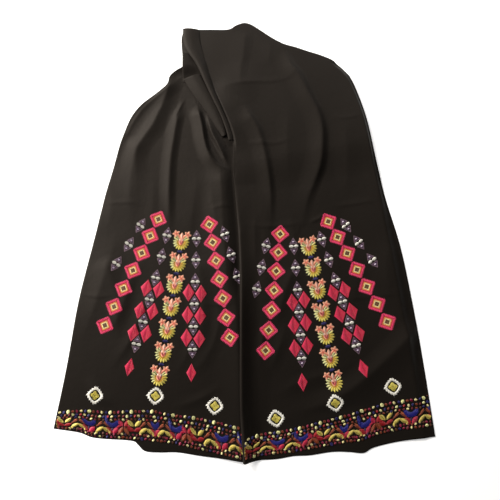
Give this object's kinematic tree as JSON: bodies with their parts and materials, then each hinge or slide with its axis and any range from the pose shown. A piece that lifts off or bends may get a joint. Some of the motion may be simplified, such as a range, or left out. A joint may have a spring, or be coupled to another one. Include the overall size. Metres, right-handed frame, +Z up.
{
  "type": "silk stole laid flat",
  "caption": "Dark silk stole laid flat, folded at the neck with its two embroidered tails side by side.",
  "frame": {"origin": "centre of the stole's flat box, on the surface that it lies on", "axes": "+Z up out of the surface, +Y from the two hems towards the folded neck, +X across, from the under tail to the upper tail"},
  "size_m": [0.856, 1.04, 0.0197],
  "materials": {
    "silk": "soft dull sheen, dark brown-black silk crepe",
    "embroidery": "glossy satin-stitched thread in many colours"
  },
  "bodies": {
    "root": {"left_tail": "silk", "right_tail": "silk", "neck_back": "silk", "neck_strip": "silk", "neck_roll": "silk"}
  },
  "joints": []
}
